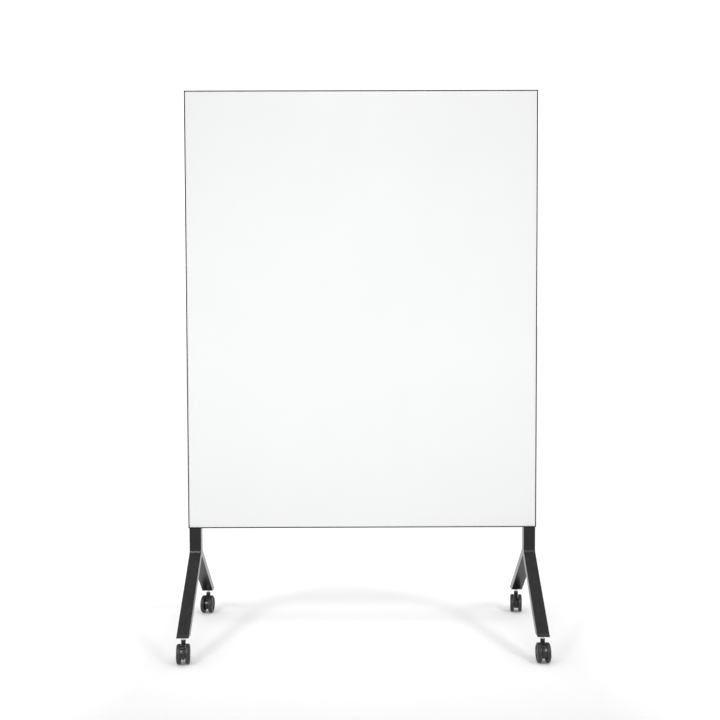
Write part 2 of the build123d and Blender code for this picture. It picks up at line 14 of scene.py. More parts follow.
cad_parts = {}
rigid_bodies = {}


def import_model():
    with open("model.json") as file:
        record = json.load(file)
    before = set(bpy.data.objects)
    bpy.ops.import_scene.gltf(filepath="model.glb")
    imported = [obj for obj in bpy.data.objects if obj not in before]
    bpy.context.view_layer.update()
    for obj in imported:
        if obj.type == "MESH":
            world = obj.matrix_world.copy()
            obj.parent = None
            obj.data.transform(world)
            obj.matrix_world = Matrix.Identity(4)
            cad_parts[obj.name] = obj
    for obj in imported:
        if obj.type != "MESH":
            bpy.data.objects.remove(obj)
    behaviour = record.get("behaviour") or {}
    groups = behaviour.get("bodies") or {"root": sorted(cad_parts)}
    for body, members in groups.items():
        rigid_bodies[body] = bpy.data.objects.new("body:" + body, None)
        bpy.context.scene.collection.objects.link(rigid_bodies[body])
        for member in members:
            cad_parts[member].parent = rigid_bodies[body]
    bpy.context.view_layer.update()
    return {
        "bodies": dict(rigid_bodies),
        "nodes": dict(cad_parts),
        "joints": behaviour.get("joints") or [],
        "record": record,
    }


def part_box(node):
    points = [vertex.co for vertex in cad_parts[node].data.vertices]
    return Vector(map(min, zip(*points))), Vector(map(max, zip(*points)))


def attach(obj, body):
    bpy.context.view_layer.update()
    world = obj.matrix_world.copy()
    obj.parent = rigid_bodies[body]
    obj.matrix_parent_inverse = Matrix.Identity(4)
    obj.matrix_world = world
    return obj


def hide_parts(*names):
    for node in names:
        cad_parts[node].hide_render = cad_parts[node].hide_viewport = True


Colour = tuple[float, float, float]
Triple = tuple[float, float, float]
Range = tuple[float, float]
Socket = bpy.types.NodeSocket

LOG = logging.getLogger("whiteboard")
FULL_TURN = 2.0 * math.pi
MERGE_DISTANCE = 1e-6
SAME_PLACE = 1e-5  # two measures that differ by less are the same
SHARP_ANGLE = math.radians(35.0)
FLAT_ANGLE = math.radians(0.5)  # triangles that fold by less are one flat face
WHITE = (1.0, 1.0, 1.0, 1.0)


# ---- Node trees ------------------------------------------------------------------
class Graph:
    """A shader node tree while it is being wired."""

    def __init__(self, tree: bpy.types.NodeTree) -> None:
        """Start with an empty tree.

        Args:
            tree: the material's, world's or group's node tree.
        """
        self.tree = tree
        tree.nodes.clear()

    def add(self, kind: str, **settings: Any) -> bpy.types.Node:
        """Add a node.

        Args:
            kind: the node's type name.
            **settings: properties to set on it.

        Returns:
            The new node.
        """
        node = self.tree.nodes.new(kind)
        for key, value in settings.items():
            setattr(node, key, value)
        return node

    def feed(self, target: Socket, source: Any) -> None:
        """Link a socket to the target, or set the target to a plain value.

        Args:
            target: the input socket to fill.
            source: a socket or a plain value.
        """
        if isinstance(source, bpy.types.NodeSocket):
            self.tree.links.new(source, target)
        else:
            target.default_value = source

    def calculate(self, operation: str, first: Any, second: Any = 0.0) -> Socket:
        """Combine two numbers.

        Args:
            operation: the Math node's operation.
            first: a socket or a number.
            second: a socket or a number.

        Returns:
            The result's socket.
        """
        node = self.add("ShaderNodeMath", operation=operation)
        self.feed(node.inputs[0], first)
        self.feed(node.inputs[1], second)
        return node.outputs[0]

    def spread(
        self, value: Socket, low: float, high: float, to_low: Any = 0.0, to_high: Any = 1.0
    ) -> Socket:
        """Map a number from one range to another, clamped.

        Args:
            value: the number's socket.
            low: start of the incoming range.
            high: end of the incoming range.
            to_low: what the start becomes.
            to_high: what the end becomes.

        Returns:
            The mapped number's socket.
        """
        node = self.add("ShaderNodeMapRange", clamp=True)
        for name, source in (("Value", value), ("From Min", low), ("From Max", high)):
            self.feed(node.inputs[name], source)
        self.feed(node.inputs["To Min"], to_low)
        self.feed(node.inputs["To Max"], to_high)
        return node.outputs["Result"]

    def blend(self, share: Any, first: Any, second: Any) -> Socket:
        """Mix two colours.

        Args:
            share: how much of the second colour, 0 to 1.
            first: a colour or its socket.
            second: a colour or its socket.

        Returns:
            The mixed colour's socket.
        """
        node = self.add("ShaderNodeMix", data_type="RGBA", clamp_factor=True)
        self.feed(node.inputs["Factor"], share)
        self.feed(node.inputs[6], first)
        self.feed(node.inputs[7], second)
        return node.outputs[2]

    def noise(self, place: Socket, scale: Any, detail: float = 2.0) -> Socket:
        """Add a noise pattern.

        Args:
            place: the coordinates' socket.
            scale: features per metre.
            detail: octaves of finer noise.

        Returns:
            The pattern's socket, about 0.3 to 0.7.
        """
        node = self.add("ShaderNodeTexNoise")
        self.feed(node.inputs["Vector"], place)
        self.feed(node.inputs["Scale"], scale)
        node.inputs["Detail"].default_value = detail
        return node.outputs["Fac"]


class Effect(Enum):
    """The shared shader effects, each a node group built once."""

    TEXTURE = "fine_texture"
    # edge colour: rubbed wear, and on the foot caps a painted highlight
    WEAR = "edge_wear"
    DUST = "settled_dust"


class EffectShelf:
    """Builds the shared node groups and hands them out; scales are features per metre."""

    BROAD_SCALE_SHARE = 0.035  # of the fine pattern's scale
    FINE_TONE_SHARE = 0.35  # the broad pattern gives the rest of the tone
    TONE_RANGE: Range = (0.32, 0.68)
    BEVEL_SAMPLES = 4
    EDGE_RANGE: Range = (0.995, 0.80)  # cosine from the rounded to the flat normal, at no and full edge colour: wear, and on the foot caps a painted highlight
    EDGE_BREAK_SCALE = 140.0
    EDGE_BREAK_RANGE: Range = (0.38, 0.62)
    UPWARD_RANGE: Range = (0.15, 0.95)
    DUST_PATCH_SCALE = 55.0
    DUST_PATCH_RANGE: Range = (0.35, 0.70)

    def __init__(self) -> None:
        """Start with nothing built."""
        self.built: dict[Effect, bpy.types.NodeTree] = {}
        self.makers: dict[Effect, Callable[[Graph, bpy.types.Node, bpy.types.Node], None]] = {
            Effect.TEXTURE: self.wire_texture,
            Effect.WEAR: self.wire_wear_and_highlight,
            Effect.DUST: self.wire_dust,
        }
        self.inputs: dict[Effect, dict[str, str]] = {
            Effect.TEXTURE: {"Scale": "Float", "Stretch": "Vector"},
            Effect.WEAR: {"Color": "Color", "Worn And Highlit Color": "Color", "Width": "Float", "Amount": "Float"},
            Effect.DUST: {"Color": "Color", "Dust Color": "Color", "Amount": "Float"},
        }
        self.outputs: dict[Effect, dict[str, str]] = {
            Effect.TEXTURE: {"Height": "Float", "Tone": "Float"},
            Effect.WEAR: {"Color": "Color", "Mask": "Float"},
            Effect.DUST: {"Color": "Color", "Mask": "Float"},
        }

    def group(self, effect: Effect) -> bpy.types.NodeTree:
        """Give an effect's node group, built at its first use.

        Args:
            effect: which effect.

        Returns:
            The node group.
        """
        if effect not in self.built:
            tree = bpy.data.node_groups.new(effect.value, "ShaderNodeTree")
            for way, sockets in (("INPUT", self.inputs[effect]), ("OUTPUT", self.outputs[effect])):
                for name, kind in sockets.items():
                    tree.interface.new_socket(name=name, in_out=way, socket_type=f"NodeSocket{kind}")
            graph = Graph(tree)
            self.makers[effect](graph, graph.add("NodeGroupInput"), graph.add("NodeGroupOutput"))
            self.built[effect] = tree
        return self.built[effect]

    def wire_texture(self, graph: Graph, given: bpy.types.Node, result: bpy.types.Node) -> None:
        """Fine surface relief, and a broader drift of tone.

        Args:
            graph: the group's node tree.
            given: its input node.
            result: its output node.
        """
        place = graph.add("ShaderNodeTexCoord").outputs["Object"]
        stretched = graph.add("ShaderNodeVectorMath", operation="MULTIPLY")
        graph.feed(stretched.inputs[0], place)
        graph.feed(stretched.inputs[1], given.outputs["Stretch"])
        fine = graph.noise(stretched.outputs[0], given.outputs["Scale"], detail=3.0)
        broad_scale = graph.calculate("MULTIPLY", given.outputs["Scale"], self.BROAD_SCALE_SHARE)
        broad = graph.noise(stretched.outputs[0], broad_scale, detail=4.0)
        fine_part = graph.calculate("MULTIPLY", fine, self.FINE_TONE_SHARE)
        broad_part = graph.calculate("MULTIPLY", broad, 1.0 - self.FINE_TONE_SHARE)
        tone = graph.calculate("ADD", fine_part, broad_part)
        graph.feed(result.inputs["Height"], fine)
        graph.feed(result.inputs["Tone"], graph.spread(tone, *self.TONE_RANGE))

    def wire_wear_and_highlight(self, graph: Graph, given: bpy.types.Node, result: bpy.types.Node) -> None:
        """Another colour along rounded edges: rubbed wear, and on the foot caps a painted highlight.

        Args:
            graph: the group's node tree.
            given: its input node.
            result: its output node.
        """
        rounded = graph.add("ShaderNodeBevel", samples=self.BEVEL_SAMPLES)
        graph.feed(rounded.inputs["Radius"], given.outputs["Width"])
        facing = graph.add("ShaderNodeVectorMath", operation="DOT_PRODUCT")
        graph.feed(facing.inputs[0], rounded.outputs["Normal"])
        graph.feed(facing.inputs[1], graph.add("ShaderNodeNewGeometry").outputs["Normal"])
        edge = graph.spread(facing.outputs["Value"], *self.EDGE_RANGE)
        place = graph.add("ShaderNodeTexCoord").outputs["Object"]
        breaks = graph.noise(place, self.EDGE_BREAK_SCALE, detail=4.0)
        broken = graph.spread(breaks, *self.EDGE_BREAK_RANGE)
        # the rubbed-edge mask; on the foot caps it paints a highlight line
        rubbed_and_highlit = graph.calculate("MULTIPLY", edge, broken)
        mask = graph.calculate("MULTIPLY", rubbed_and_highlit, given.outputs["Amount"])
        colour = graph.blend(mask, given.outputs["Color"], given.outputs["Worn And Highlit Color"])
        graph.feed(result.inputs["Color"], colour)
        graph.feed(result.inputs["Mask"], mask)

    def wire_dust(self, graph: Graph, given: bpy.types.Node, result: bpy.types.Node) -> None:
        """A thin film of dust on the faces that look up.

        Args:
            graph: the group's node tree.
            given: its input node.
            result: its output node.
        """
        split = graph.add("ShaderNodeSeparateXYZ")
        graph.feed(split.inputs[0], graph.add("ShaderNodeNewGeometry").outputs["Normal"])
        upward = graph.spread(split.outputs["Z"], *self.UPWARD_RANGE)
        place = graph.add("ShaderNodeTexCoord").outputs["Object"]
        patches = graph.noise(place, self.DUST_PATCH_SCALE, detail=6.0)
        patchy = graph.spread(patches, *self.DUST_PATCH_RANGE)
        settled = graph.calculate("MULTIPLY", upward, patchy)
        mask = graph.calculate("MULTIPLY", settled, given.outputs["Amount"])
        colour = graph.blend(mask, given.outputs["Color"], given.outputs["Dust Color"])
        graph.feed(result.inputs["Color"], colour)
        graph.feed(result.inputs["Mask"], mask)


SHELF = EffectShelf()


# ---- Finishes --------------------------------------------------------------------
@dataclass(frozen=True)
class Finish:
    """A surface as its maker would describe it; lengths are in metres."""

    label: str
    colour: Colour
    roughness: float
    tone: float = 0.12  # how far the colour drifts either side
    roughness_drift: float = 0.05
    metallic: float = 0.0
    specular: float = 0.5
    coat: float = 0.0
    coat_roughness: float = 0.1
    grain: float = 900.0  # relief features per metre
    stretch: Triple = (1.0, 1.0, 1.0)
    relief: float = 0.00002
    # edge colour, its amount and width: rubbed wear, and on the foot caps a painted highlight
    worn_and_highlit_colour: Colour = (0.09, 0.09, 0.092)
    wear_and_highlight: float = 0.0
    wear_and_highlight_width: float = 0.0012
    dust: float = 0.0
    dust_colour: Colour = (0.30, 0.29, 0.27)
    dust_roughness: float = 0.9

    def material(self) -> bpy.types.Material:
        """Give the finish's material, made at its first use.

        Returns:
            The material.
        """
        made = bpy.data.materials.get(self.label)
        if made is None:
            made = bpy.data.materials.new(self.label)
            made.use_nodes = True
            self.wire(Graph(made.node_tree))
        return made

    def wire(self, graph: Graph) -> None:
        """Wire the whole material.

        Args:
            graph: the material's empty node tree.
        """
        shader = graph.add("ShaderNodeBsdfPrincipled")
        graph.feed(graph.add("ShaderNodeOutputMaterial").inputs["Surface"], shader.outputs["BSDF"])
        for name, value in (
            ("Metallic", self.metallic),
            ("Specular IOR Level", self.specular),
            ("Coat Weight", self.coat),
            ("Coat Roughness", self.coat_roughness),
        ):
            shader.inputs[name].default_value = value
        texture = graph.add("ShaderNodeGroup", node_tree=SHELF.group(Effect.TEXTURE))
        texture.inputs["Scale"].default_value = self.grain
        texture.inputs["Stretch"].default_value = self.stretch
        colour, roughness, height = self.pattern(graph, texture)
        colour, roughness = self.age(graph, colour, roughness)
        graph.feed(shader.inputs["Base Color"], colour)
        graph.feed(shader.inputs["Roughness"], roughness)
        bump = graph.add("ShaderNodeBump")
        bump.inputs["Distance"].default_value = self.relief
        graph.feed(bump.inputs["Height"], height)
        graph.feed(shader.inputs["Normal"], bump.outputs["Normal"])

    def shade(self, share: float) -> tuple[float, float, float, float]:
        """The finish's colour made this share lighter, with alpha."""
        return tuple(min(1.0, part * (1.0 + share)) for part in self.colour) + (1.0,)

    def pattern(self, graph: Graph, texture: bpy.types.Node) -> tuple[Socket, Socket, Socket]:
        """The finish's own pattern, before wear and dust.

        Args:
            graph: the material's node tree.
            texture: the fine texture group in it.

        Returns:
            Sockets of colour, roughness and relief height.
        """
        tone = texture.outputs["Tone"]
        colour = graph.blend(tone, self.shade(-self.tone), self.shade(self.tone))
        low, high = self.roughness - self.roughness_drift, self.roughness + self.roughness_drift
        return colour, graph.spread(tone, 0.0, 1.0, low, high), texture.outputs["Height"]

    def age(self, graph: Graph, colour: Socket, roughness: Socket) -> tuple[Socket, Socket]:
        """Add rubbed edges, painted edge highlights and dust where the finish has them.

        Args:
            graph: the material's node tree.
            colour: the colour so far.
            roughness: the roughness so far.

        Returns:
            Sockets of the colour and roughness with edge colour and dust added.
        """
        # rounded edges take the worn colour: rubbed wear, and on the foot caps a painted highlight line
        if self.wear_and_highlight:
            rubbed_and_highlit = graph.add("ShaderNodeGroup", node_tree=SHELF.group(Effect.WEAR))
            graph.feed(rubbed_and_highlit.inputs["Color"], colour)
            rubbed_and_highlit.inputs["Worn And Highlit Color"].default_value = self.worn_and_highlit_colour + (1.0,)
            rubbed_and_highlit.inputs["Width"].default_value = self.wear_and_highlight_width
            rubbed_and_highlit.inputs["Amount"].default_value = self.wear_and_highlight
            colour = rubbed_and_highlit.outputs["Color"]
        if self.dust:
            dusty = graph.add("ShaderNodeGroup", node_tree=SHELF.group(Effect.DUST))
            graph.feed(dusty.inputs["Color"], colour)
            dusty.inputs["Dust Color"].default_value = self.dust_colour + (1.0,)
            dusty.inputs["Amount"].default_value = self.dust
            colour = dusty.outputs["Color"]
            roughness = graph.spread(dusty.outputs["Mask"], 0.0, 1.0, roughness, self.dust_roughness)
        return colour, roughness


@dataclass(frozen=True)
class Enamel(Finish):
    """Fired white enamel with the faint smears that a wiped board keeps."""

    smear: float = 0.03
    wipe_turn: float = math.radians(24.0)
    wipe_stretch: Triple = (1.6, 1.0, 22.0)
    wipe_scale: float = 1.9
    wipe_range: Range = (0.48, 0.72)
    haze_scale: float = 2.3
    haze_range: Range = (0.42, 0.70)

    def pattern(self, graph: Graph, texture: bpy.types.Node) -> tuple[Socket, Socket, Socket]:
        """Slanted wiping strokes in the gloss and a soft drift of white.

        Args:
            graph: the material's node tree.
            texture: the fine texture group in it.

        Returns:
            Sockets of colour, roughness and relief height.
        """
        colour, roughness, height = super().pattern(graph, texture)
        place = graph.add("ShaderNodeTexCoord").outputs["Object"]
        turn = graph.add("ShaderNodeMapping")
        graph.feed(turn.inputs["Vector"], place)
        turn.inputs["Rotation"].default_value = (0.0, self.wipe_turn, 0.0)
        turn.inputs["Scale"].default_value = self.wipe_stretch
        strokes = graph.noise(turn.outputs["Vector"], self.wipe_scale, detail=5.0)
        wiped = graph.spread(strokes, *self.wipe_range)
        haze = graph.spread(graph.noise(place, self.haze_scale, detail=3.0), *self.haze_range)
        smear = graph.calculate("MULTIPLY", graph.calculate("MULTIPLY", wiped, haze), self.smear)
        return colour, graph.calculate("ADD", roughness, smear), height


@dataclass(frozen=True)
class Tread(Finish):
    """Soft tyre rubber, scuffed grey where it runs on the floor."""

    scuff_colour: Colour = (0.040, 0.039, 0.037)
    scuff_scale: float = 420.0
    scuff_range: Range = (0.36, 0.66)
    scuff: float = 0.75

    def pattern(self, graph: Graph, texture: bpy.types.Node) -> tuple[Socket, Socket, Socket]:
        """Scuffs over the running band, which the mesh marks with its own attribute.

        Args:
            graph: the material's node tree.
            texture: the fine texture group in it.

        Returns:
            Sockets of colour, roughness and relief height.
        """
        colour, roughness, height = super().pattern(graph, texture)
        band = graph.add("ShaderNodeAttribute", attribute_name="running_band")
        place = graph.add("ShaderNodeTexCoord").outputs["Object"]
        patchy = graph.spread(graph.noise(place, self.scuff_scale, detail=5.0), *self.scuff_range)
        strength = graph.calculate("MULTIPLY", patchy, self.scuff)
        scuffed = graph.calculate("MULTIPLY", band.outputs["Fac"], strength)
        return graph.blend(scuffed, colour, self.scuff_colour + (1.0,)), roughness, height


@dataclass(frozen=True)
class FibreBoard(Finish):
    """Pressed wood fibre with darker flecks all through it."""

    fleck_colour: Colour = (0.26, 0.17, 0.10)
    fleck_scale: float = 520.0
    fleck_range: Range = (0.22, 0.05)  # from a fleck's middle, at its rim and well inside it

    def pattern(self, graph: Graph, texture: bpy.types.Node) -> tuple[Socket, Socket, Socket]:
        """Flecks of darker fibre over the board's own tone.

        Args:
            graph: the material's node tree.
            texture: the fine texture group in it.

        Returns:
            Sockets of colour, roughness and relief height.
        """
        colour, roughness, height = super().pattern(graph, texture)
        cells = graph.add("ShaderNodeTexVoronoi")
        graph.feed(cells.inputs["Vector"], graph.add("ShaderNodeTexCoord").outputs["Object"])
        cells.inputs["Scale"].default_value = self.fleck_scale
        fleck = graph.spread(cells.outputs["Distance"], *self.fleck_range)
        return graph.blend(fleck, colour, self.fleck_colour + (1.0,)), roughness, height


WHITE_ENAMEL = Enamel(
    "fired_enamel", (0.725, 0.728, 0.731), 0.10, tone=0.008, roughness_drift=0.02,
    grain=160.0, relief=0.000006, coat=0.25, coat_roughness=0.05,
)
BLACK_POWDER = Finish(
    "black_powder_coat", (0.0060, 0.0060, 0.0063), 0.22, tone=0.22, roughness_drift=0.03, specular=0.36,
    grain=1150.0, relief=0.000035, wear_and_highlight=0.35, worn_and_highlit_colour=(0.035, 0.035, 0.036),
    wear_and_highlight_width=0.0015, dust=0.03,
)
ANODISED_ALONG_X = Finish(
    "black_anodised_along_x", (0.010, 0.010, 0.0105), 0.38, tone=0.25, roughness_drift=0.06,
    specular=0.30, stretch=(0.012, 1.0, 1.0), relief=0.000010,
    wear_and_highlight=0.25, worn_and_highlit_colour=(0.16, 0.16, 0.165), wear_and_highlight_width=0.0004,
)
ANODISED_ALONG_Z = replace(ANODISED_ALONG_X, label="black_anodised_along_z", stretch=(1.0, 1.0, 0.012))
BLACK_NYLON = Finish(
    "black_moulded_nylon", (0.0085, 0.0085, 0.0088), 0.32, tone=0.18, roughness_drift=0.06,
    grain=2300.0, relief=0.000022, wear_and_highlight=0.30, worn_and_highlit_colour=(0.07, 0.07, 0.07),
    wear_and_highlight_width=0.0006, dust=0.04,
)
# its strong pale edge colour is a painted highlight: the light line along the caps' rounded edges, at the
# seam above each foot
FOOT_NYLON = Finish(
    "black_foot_nylon", (0.0080, 0.0080, 0.0083), 0.28, tone=0.15, roughness_drift=0.05,
    grain=1900.0, relief=0.000012, wear_and_highlight=0.85, worn_and_highlit_colour=(0.20, 0.20, 0.20), wear_and_highlight_width=0.0010,
)
TYRE_RUBBER = Tread(
    "black_soft_tyre", (0.0100, 0.0100, 0.0103), 0.44, tone=0.20, roughness_drift=0.08, specular=0.4,
    grain=1500.0, relief=0.000030, dust=0.04,
)
BRIGHT_ZINC = Finish(
    "bright_zinc_plate", (0.66, 0.665, 0.68), 0.28, tone=0.10, roughness_drift=0.10, metallic=1.0,
    grain=700.0, relief=0.000006, wear_and_highlight=0.30, worn_and_highlit_colour=(0.80, 0.80, 0.80), wear_and_highlight_width=0.0004,
)
BLACK_ZINC = Finish(
    "black_zinc_screw", (0.035, 0.035, 0.037), 0.36, tone=0.25, roughness_drift=0.08, metallic=0.8,
    grain=1600.0, relief=0.000008, wear_and_highlight=0.55, worn_and_highlit_colour=(0.30, 0.30, 0.31), wear_and_highlight_width=0.0004,
)
MILL_STEEL = Finish(
    "mill_finish_steel", (0.42, 0.42, 0.43), 0.42, tone=0.22, roughness_drift=0.10, metallic=1.0,
    grain=500.0, stretch=(1.0, 1.0, 0.06), relief=0.000012,
)
CORE_FIBRE = FibreBoard(
    "pressed_fibre_core", (0.46, 0.33, 0.20), 0.85, tone=0.18, specular=0.25,
    grain=1300.0, relief=0.00005,
)


# ---- Mesh work -------------------------------------------------------------------
class MeshBench:
    """Mesh steps that several pieces share. Turned pieces lie along X."""

    @staticmethod
    def turned(section: Sequence[tuple[float, float]], steps: int) -> bmesh.types.BMesh:
        """Turn a half section about the X axis.

        Args:
            section: (x, radius) corners, in order, as a closed outline or from axis to axis.
            steps: faces round the turn.

        Returns:
            A closed mesh with outward faces.
        """
        bm = bmesh.new()
        verts = [bm.verts.new((x, 0.0, radius)) for x, radius in section]
        open_ended = section[0][1] == 0.0 and section[-1][1] == 0.0
        pairs = list(zip(verts, verts[1:])) + ([] if open_ended else [(verts[-1], verts[0])])
        for first, second in pairs:
            bm.edges.new((first, second))
        bmesh.ops.spin(
            bm, geom=bm.verts[:] + bm.edges[:], cent=(0, 0, 0), axis=(1, 0, 0), dvec=(0, 0, 0),
            angle=FULL_TURN, steps=steps, use_merge=True, use_duplicate=False,
        )
        bmesh.ops.remove_doubles(bm, verts=bm.verts[:], dist=MERGE_DISTANCE)
        bmesh.ops.recalc_face_normals(bm, faces=bm.faces[:])
        return bm

    @staticmethod
    def ring(bm: bmesh.types.BMesh, x: float, radius: float) -> list[bmesh.types.BMEdge]:
        """Find one circle of edges on a turned piece.

        Args:
            bm: the turned mesh.
            x: where the circle lies along the axis.
            radius: its radius.

        Returns:
            The circle's edges.
        """

        def here(vert: bmesh.types.BMVert) -> bool:
            """Whether the vertex lies on the circle."""
            away = math.hypot(vert.co.y, vert.co.z) - radius
            return abs(vert.co.x - x) < SAME_PLACE and abs(away) < SAME_PLACE

        return [edge for edge in bm.edges if here(edge.verts[0]) and here(edge.verts[1])]

    @staticmethod
    def rounded(
        bm: bmesh.types.BMesh, edges: Iterable[bmesh.types.BMEdge], width: float, segments: int
    ) -> None:
        """Round some edges.

        Args:
            bm: the mesh.
            edges: which edges.
            width: how far the rounding reaches from each edge.
            segments: faces across the rounding.
        """
        bmesh.ops.bevel(
            bm, geom=list(edges), offset=width, offset_type="OFFSET", segments=segments, profile=0.5,
            affect="EDGES", clamp_overlap=True, material=-1,
        )

    @staticmethod
    def sharp_edges(bm: bmesh.types.BMesh, least: float) -> list[bmesh.types.BMEdge]:
        """Edges that fold by more than an angle in radians."""
        return [e for e in bm.edges if len(e.link_faces) == 2 and e.calc_face_angle(0.0) > least]

    @staticmethod
    def block(size: Triple, place: Matrix, rounding: float) -> bmesh.types.BMesh:
        """A small moulded block with rounded edges.

        Args:
            size: its length along each of its own axes.
            place: where it goes.
            rounding: how far its edges are rounded.

        Returns:
            The block's mesh.
        """
        bm = bmesh.new()
        bmesh.ops.create_cube(bm, size=1.0, matrix=Matrix.Diagonal((*size, 1.0)))
        MeshBench.rounded(bm, bm.edges[:], rounding, segments=3)
        bm.transform(place)
        return bm

    @staticmethod
    def joined(parts: Iterable[bmesh.types.BMesh]) -> bmesh.types.BMesh:
        """Put several meshes into one and free them.

        Args:
            parts: the meshes.

        Returns:
            One mesh with all their faces.
        """
        whole = bmesh.new()
        for part in parts:
            carrier = bpy.data.meshes.new("carrier")
            part.to_mesh(carrier)
            part.free()
            whole.from_mesh(carrier)
            bpy.data.meshes.remove(carrier)
        return whole

    @staticmethod
    def cad_copy(source: bpy.types.Object) -> bmesh.types.BMesh:
        """Copy a CAD node's mesh with its loose triangles merged into flat faces.

        Args:
            source: the CAD node.

        Returns:
            The merged copy.
        """
        bm = bmesh.new()
        bm.from_mesh(source.data)
        bmesh.ops.remove_doubles(bm, verts=bm.verts[:], dist=MERGE_DISTANCE)
        bmesh.ops.dissolve_limit(bm, angle_limit=FLAT_ANGLE, verts=bm.verts[:], edges=bm.edges[:])
        return bm


# ---- Sub-assemblies ----------------------------------------------------------------
@dataclass
class SubAssembly:
    """Pieces that are built and dressed together."""

    frame: dict[str, Any]

    def dress(self, finish: Finish, *nodes: str) -> None:
        """Give CAD nodes a finish.

        Args:
            finish: the finish.
            *nodes: the nodes' names.
        """
        for name in nodes:
            shown = self.frame["nodes"][name]
            shown.data.materials.clear()
            shown.data.materials.append(finish.material())
            LOG.info("dressed %s in %s", name, finish.label)

    def stand_in(
        self, name: str, bm: bmesh.types.BMesh, finish: Finish, body: str, slot: str, nodes: Sequence[str]
    ) -> None:
        """Make a mesh a piece that stands for CAD nodes.

        Args:
            name: the piece's name.
            bm: its mesh, in the row frame; freed here.
            finish: its finish.
            body: the body that it rides on.
            slot: the record's material slot; not used.
            nodes: the CAD nodes that it replaces.
        """
        mesh = bpy.data.meshes.new(name)
        for face in bm.faces:
            face.smooth = True
        bm.to_mesh(mesh)
        bm.free()
        mesh.set_sharp_from_angle(angle=SHARP_ANGLE)
        mesh.materials.append(finish.material())
        piece = bpy.data.objects.new(name, mesh)
        bpy.context.scene.collection.objects.link(piece)
        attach(piece, body)
        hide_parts(*nodes)
        LOG.info("built %s: %d faces", name, len(mesh.polygons))


@dataclass
class ScrewSet(SubAssembly):
    """Countersunk screws with a hexagon socket, at the places of a CAD node's solids."""

    node: str = ""
    recess_share: float = 0.46  # the socket's radius, of the head's
    recess_depth: float = 0.0014
    recess_taper: float = 0.92
    segments: int = 24
    head_drop: float = 0.0014  # the head's cone, as deep as it narrows
    tip_length: float = 0.0006
    tip_taper: float = 0.7
    side_edge_reach: float = 0.03  # screws this near a side edge may stand in it
    end_edge_reach: float = 0.01  # unless they are this near the top or bottom edge

    def places(self) -> list[tuple[Vector, Vector, float, float]]:
        """Find each screw in the CAD node.

        Returns:
            For each screw the middle of its head, the way into the board, its head radius and
            its length.
        """
        low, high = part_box("board_core")
        bm = MeshBench.cad_copy(self.frame["nodes"][self.node])
        waiting, found = set(bm.verts), []
        while waiting:
            island, edge = set(), {waiting.pop()}
            while edge:
                island |= edge
                edge = {e.other_vert(v) for v in edge for e in v.link_edges} - island
            waiting -= island
            xs, ys, zs = zip(*(v.co for v in island))
            near, far = Vector((min(xs), min(ys), min(zs))), Vector((max(xs), max(ys), max(zs)))
            centre, size = (near + far) / 2, far - near
            at_side = centre.x < low.x + self.side_edge_reach or centre.x > high.x - self.side_edge_reach
            at_end = min(abs(far.z - high.z), abs(near.z - low.z)) < self.end_edge_reach
            along = 0 if at_side and not at_end else 2
            sign = -1.0 if centre[along] > (low[along] + high[along]) / 2 else 1.0
            way = Vector((0.0, 0.0, 0.0))
            way[along] = sign
            head = centre.copy()
            head[along] = near[along] if sign > 0 else far[along]
            found.append((head, way, size.y / 2, size[along]))
        bm.free()
        return found

    def screw(self, head: Vector, way: Vector, radius: float, length: float) -> bmesh.types.BMesh:
        """One screw.

        Args:
            head: the middle of its head.
            way: the way into the board.
            radius: its head radius.
            length: its length.

        Returns:
            The screw's mesh.
        """
        bm = bmesh.new()
        rim = bmesh.ops.create_circle(bm, segments=self.segments, radius=radius)["verts"]
        rim_edges = list({e for v in rim for e in v.link_edges})
        socket = bmesh.ops.create_circle(bm, segments=6, radius=radius * self.recess_share)["verts"]
        socket_edges = list({e for v in socket for e in v.link_edges})
        bmesh.ops.bridge_loops(bm, edges=rim_edges + socket_edges)
        floor = self.pulled(bm, socket_edges, -self.recess_depth, self.recess_taper)
        bmesh.ops.contextual_create(bm, geom=floor)
        shank = radius - self.head_drop
        neck = self.pulled(bm, rim_edges, -self.head_drop, shank / radius)
        tip = self.pulled(bm, neck, -(length - self.head_drop - self.tip_length), 1.0)
        point = self.pulled(bm, tip, -self.tip_length, self.tip_taper)
        bmesh.ops.contextual_create(bm, geom=point)
        bmesh.ops.recalc_face_normals(bm, faces=bm.faces[:])
        turn = Vector((0.0, 0.0, -1.0)).rotation_difference(way).to_matrix().to_4x4()
        bm.transform(Matrix.Translation(head) @ turn)
        return bm

    @staticmethod
    def pulled(
        bm: bmesh.types.BMesh, edges: Sequence[bmesh.types.BMEdge], drop: float, scale: float
    ) -> list[bmesh.types.BMEdge]:
        """Extrude a loop down the screw's axis.

        Args:
            bm: the screw's mesh.
            edges: the loop.
            drop: how far along Z it moves.
            scale: how its radius changes.

        Returns:
            The new loop's edges.
        """
        made = bmesh.ops.extrude_edge_only(bm, edges=list(edges))["geom"]
        verts = [g for g in made if isinstance(g, bmesh.types.BMVert)]
        bmesh.ops.translate(bm, verts=verts, vec=(0.0, 0.0, drop))
        bmesh.ops.scale(bm, verts=verts, vec=(scale, scale, 1.0))
        return [g for g in made if isinstance(g, bmesh.types.BMEdge)]

    def build(self, finish: Finish, slot: str) -> None:
        """Make all the screws one piece.

        Args:
            finish: their finish.
            slot: the record's material slot.
        """
        screws = MeshBench.joined(self.screw(*place) for place in self.places())
        self.stand_in(f"{self.node}_socket_head", screws, finish, "stand", slot, [self.node])


